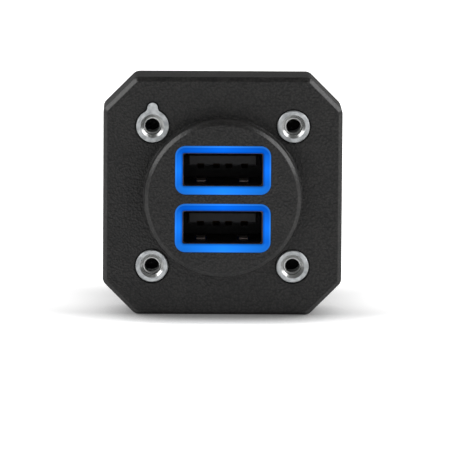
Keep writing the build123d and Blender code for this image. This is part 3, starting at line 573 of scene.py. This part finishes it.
def threadTree(sizes, material):
    # Sweeps a triangle along a helix and sets a copy at each corner of the inserts' square
    tree = bpy.data.node_groups.new("insertThread", "GeometryNodeTree")
    tree.interface.new_socket(name="Geometry", in_out="OUTPUT", socket_type="NodeSocketGeometry")
    identifiers = {}
    for name in sizes:
        item = tree.interface.new_socket(name=name, in_out="INPUT", socket_type="NodeSocketFloat")
        identifiers[name] = item.identifier
    given = addNode(tree, "NodeGroupInput").outputs
    crestAndRoot = addNode(tree, "ShaderNodeMath", {"operation": "ADD"}, {
        0: given["crest"], 1: given["root"],
    })
    middle = addNode(tree, "ShaderNodeMath", {"operation": "MULTIPLY"}, {0: crestAndRoot, 1: 0.5})
    ridgeHeight = addNode(tree, "ShaderNodeMath", {"operation": "SUBTRACT"}, {
        0: given["root"], 1: given["crest"],
    })
    halfHeight = addNode(tree, "ShaderNodeMath", {"operation": "MULTIPLY"}, {0: ridgeHeight, 1: 0.5})
    length = addNode(tree, "ShaderNodeMath", {"operation": "MULTIPLY"}, {
        0: given["pitch"], 1: given["turns"],
    })
    helix = addNode(tree, "GeometryNodeCurveSpiral", {}, {
        "Resolution": stepsToATurn, "Rotations": given["turns"], "Height": length,
        "Start Radius": middle, "End Radius": middle,
    })
    section = addNode(tree, "GeometryNodeCurvePrimitiveCircle", {}, {
        "Resolution": 3, "Radius": halfHeight,                           # three corners, a triangle
    })
    ridge = addNode(tree, "GeometryNodeCurveToMesh", {}, {
        "Curve": helix, "Profile Curve": section, "Fill Caps": True,
    })
    turned = addNode(tree, "GeometryNodeTransform", {}, {
        "Geometry": ridge, "Rotation": (math.radians(-90), 0, 0),        # wound along Y, into the block
    })
    inward = addNode(tree, "ShaderNodeCombineXYZ", {}, {"Y": given["start"]})
    placed = addNode(tree, "GeometryNodeTransform", {}, {"Geometry": turned, "Translation": inward})
    square = addNode(tree, "GeometryNodeMeshGrid", {}, {
        "Size X": given["spacing"], "Size Y": given["spacing"], "Vertices X": 2, "Vertices Y": 2,
    })
    upright = addNode(tree, "GeometryNodeTransform", {}, {
        "Geometry": square, "Rotation": (math.radians(90), 0, 0),
    })
    points = addNode(tree, "GeometryNodeMeshToPoints", {}, {"Mesh": upright})
    copies = addNode(tree, "GeometryNodeInstanceOnPoints", {}, {"Points": points, "Instance": placed})
    real = addNode(tree, "GeometryNodeRealizeInstances", {}, {"Geometry": copies})
    finished = addNode(tree, "GeometryNodeSetMaterial", {}, {"Geometry": real, "Material": material})
    addNode(tree, "NodeGroupOutput", {}, {"Geometry": finished})
    return tree, identifiers


def meshFromTree(name, tree, identifiers, values):
    # The tree's result as a plain mesh, with doubles merged and its faces turned outwards
    holder = bpy.data.objects.new(name + "Holder", bpy.data.meshes.new(name + "Holder"))
    bpy.context.scene.collection.objects.link(holder)
    modifier = holder.modifiers.new(name, "NODES")
    modifier.node_group = tree
    for inputName, value in values.items():
        modifier[identifiers[inputName]] = value
    bpy.context.view_layer.update()
    evaluated = holder.evaluated_get(bpy.context.evaluated_depsgraph_get())
    mesh = bpy.data.meshes.new_from_object(evaluated)
    bpy.data.objects.remove(holder)
    work = bmesh.new()
    work.from_mesh(mesh)
    bmesh.ops.remove_doubles(work, verts=work.verts, dist=mergeWithin * mm)
    bmesh.ops.recalc_face_normals(work, faces=work.faces)
    work.to_mesh(mesh)
    work.free()
    piece = bpy.data.objects.new(name, mesh)
    bpy.context.scene.collection.objects.link(piece)
    return piece


threadGroup, threadInputs = threadTree(threadSizes, finishes["insert_metal"])
threadValues = {name: size if name == "turns" else size * mm for name, size in threadSizes.items()}
insertThreads = meshFromTree("insertThreads", threadGroup, threadInputs, threadValues)
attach(insertThreads, "root")
print("threads wound:", len(insertThreads.data.polygons), "faces")


# Floor

floorLook = {
    "width": 5.0,            # metres
    "paper": "#f6f6f6",
    "fibre": "#f1f1f1",
    "fibreCloud": 1.5,       # mm across a tuft of fibres, coarser than real so that it shows
    "lift": 0.55,            # added where the camera, a reflection or glass sees the paper
    "contact": 13.0,         # mm over which the shadow under the object's edge fades
    "contactDark": 0.15,     # what is left of the paper's white where the shadow is deepest
    "contactDeep": 0.3,      # share of open view at which it is deepest
    "shadowFall": (0, 0.85, 0.53),       # leans the shadow forward, as light from above and behind does
}


def makeFloor(look):
    # Matt uncoated background paper: an even white with the faintest tufts of fibre. Its lift and
    # its shade are for the eye alone: the block is lit by clean, unlifted paper
    half = look["width"] / 2
    low = cadBox[0][2]
    mesh = bpy.data.meshes.new("studioFloor")
    corners = [(-half, -half, low), (half, -half, low), (half, half, low), (-half, half, low)]
    mesh.from_pydata(corners, [], [(0, 1, 2, 3)])
    floor = bpy.data.objects.new("studioFloor", mesh)
    bpy.context.scene.collection.objects.link(floor)
    material, tree, place = startMaterial("whiteBackgroundPaper")
    fibres = addNode(tree, "ShaderNodeTexNoise", {}, {
        "Vector": place, "Scale": perMetre(look["fibreCloud"]), "Detail": 2.0,
    })
    white = addNode(tree, "ShaderNodeMix", {"data_type": "RGBA"}, {
        "Factor": fibres, "A": linearColour(look["fibre"]), "B": linearColour(look["paper"]),
    })
    openView = addNode(tree, "ShaderNodeAmbientOcclusion", {"samples": 16}, {
        "Distance": look["contact"] * mm,
        "Normal": addNode(tree, "ShaderNodeCombineXYZ", {}, dict(zip("XYZ", look["shadowFall"]))),
    }).outputs["AO"]
    shade = addNode(tree, "ShaderNodeMapRange", {}, {
        "Value": openView, "From Min": look["contactDeep"], "From Max": 1.0,
        "To Min": look["contactDark"],
    })
    path = addNode(tree, "ShaderNodeLightPath")
    seenShade = addNode(tree, "ShaderNodeMix", {}, {
        "Factor": path.outputs["Is Camera Ray"], "A": 1.0, "B": shade,
    })
    shaded = addNode(tree, "ShaderNodeMix", {"data_type": "RGBA"}, {
        "Factor": seenShade, "A": (0, 0, 0, 1), "B": white,
    })
    paper = addNode(tree, "ShaderNodeBsdfDiffuse", {}, {"Color": shaded})
    cameraOrGloss = addNode(tree, "ShaderNodeMath", {"operation": "MAXIMUM"}, {
        0: path.outputs["Is Camera Ray"], 1: path.outputs["Is Glossy Ray"],
    })
    seen = addNode(tree, "ShaderNodeMath", {"operation": "MAXIMUM"}, {
        0: cameraOrGloss, 1: path.outputs["Is Transmission Ray"],
    })
    lift = addNode(tree, "ShaderNodeMath", {"operation": "MULTIPLY"}, {0: seen, 1: look["lift"]})
    shadedLift = addNode(tree, "ShaderNodeMath", {"operation": "MULTIPLY"}, {0: lift, 1: shade})
    glow = addNode(tree, "ShaderNodeEmission", {}, {"Strength": shadedLift})
    both = addNode(tree, "ShaderNodeAddShader", {}, {0: paper, 1: glow})
    addNode(tree, "ShaderNodeOutputMaterial", {}, {"Surface": both})
    mesh.materials.append(material)


makeFloor(floorLook)
print("floor laid")


# Light: white walls all round, a dim ceiling, and a softbox high at each side

lightLook = {
    "walls": 0.43,
    "backWall": 0.17,        # behind the object, which its top mirrors
    "backTurn": (0.2, 0.8),  # Y part of a direction over which the side walls pass into the back one
    "ceiling": 0.06,
    "wallTop": 0.3,          # sine of the height where the white walls begin to darken
    "ceilingEdge": 0.65,
    "softboxes": {
        "leftSoftbox": {"place": (-1.25, 0.05, 0.95), "width": 1.1, "watts": 21.0},
        "rightSoftbox": {"place": (1.25, 0.05, 0.85), "width": 1.1, "watts": 23.0},
    },
}


def makeWorld(look):
    # Brightness by direction alone: the walls dim towards the back, and then towards the ceiling
    world = bpy.data.worlds.new("whiteStudio")
    world.use_nodes = True
    tree = world.node_tree
    tree.nodes.clear()
    direction = addNode(tree, "ShaderNodeTexCoord").outputs["Generated"]
    axes = addNode(tree, "ShaderNodeSeparateXYZ", {}, {"Vector": direction})
    walls = addNode(tree, "ShaderNodeMapRange", {}, {
        "Value": axes.outputs["Y"], "From Min": look["backTurn"][0], "From Max": look["backTurn"][1],
        "To Min": look["walls"], "To Max": look["backWall"],
    })
    strength = addNode(tree, "ShaderNodeMapRange", {}, {
        "Value": axes.outputs["Z"], "From Min": look["wallTop"], "From Max": look["ceilingEdge"],
        "To Min": walls, "To Max": look["ceiling"],
    })
    sky = addNode(tree, "ShaderNodeBackground", {}, {"Color": (1, 1, 1, 1), "Strength": strength})
    addNode(tree, "ShaderNodeOutputWorld", {}, {"Surface": sky})
    bpy.context.scene.world = world


def makeSoftbox(name, box):
    # A square lamp that faces the object
    lamp = bpy.data.lights.new(name, "AREA")
    lamp.size = box["width"]
    lamp.energy = box["watts"]
    holder = bpy.data.objects.new(name, lamp)
    holder.location = box["place"]
    holder.rotation_euler = (-Vector(box["place"])).to_track_quat("-Z", "Y").to_euler()
    bpy.context.scene.collection.objects.link(holder)


makeWorld(lightLook)
for name, box in lightLook["softboxes"].items():
    makeSoftbox(name, box)
print("lights set")


# Camera at the photograph's viewing angle

viewpoint = {
    "elevation": 7.5,        # degrees above the ports' axis
    "azimuth": -0.8,         # degrees, from the left
    "roll": 0.38,            # degrees that the picture is turned clockwise
    "distance": 1.0,         # metres from the face of the block
    "lens": 502.0,           # mm
    "sensor": 36.0,          # mm
    "nearest": 0.01,         # metres
    "farthest": 50.0,        # metres, past the far edge of the floor
    "pictureWidth": 450,     # pixels
    "blockMiddle": (222.6, 196.4),       # where the middle of the block's face lies in the picture
}


def makeCamera(view):
    azimuth = math.radians(view["azimuth"])
    elevation = math.radians(view["elevation"])
    back = Vector((
        math.sin(azimuth) * math.cos(elevation),
        -math.cos(azimuth) * math.cos(elevation),
        math.sin(elevation),
    ))
    turn = (-back).to_track_quat("-Z", "Y") @ Quaternion((0, 0, 1), math.radians(view["roll"]))
    # The camera slides in its own plane until the block's middle lies where the photograph has it
    pixelSize = view["distance"] * view["sensor"] / (view["lens"] * view["pictureWidth"])
    sideways = (view["pictureWidth"] / 2 - view["blockMiddle"][0]) * pixelSize
    upwards = (view["blockMiddle"][1] - view["pictureWidth"] / 2) * pixelSize
    data = bpy.data.cameras.new("photoCamera")
    data.lens = view["lens"]
    data.sensor_width = view["sensor"]
    data.clip_start = view["nearest"]
    data.clip_end = view["farthest"]
    camera = bpy.data.objects.new("photoCamera", data)
    camera.location = back * view["distance"] + turn @ Vector((sideways, upwards, 0))
    camera.rotation_euler = turn.to_euler()
    bpy.context.scene.collection.objects.link(camera)
    bpy.context.scene.camera = camera


makeCamera(viewpoint)
bpy.context.scene.view_settings.view_transform = "Standard"
print("camera placed")
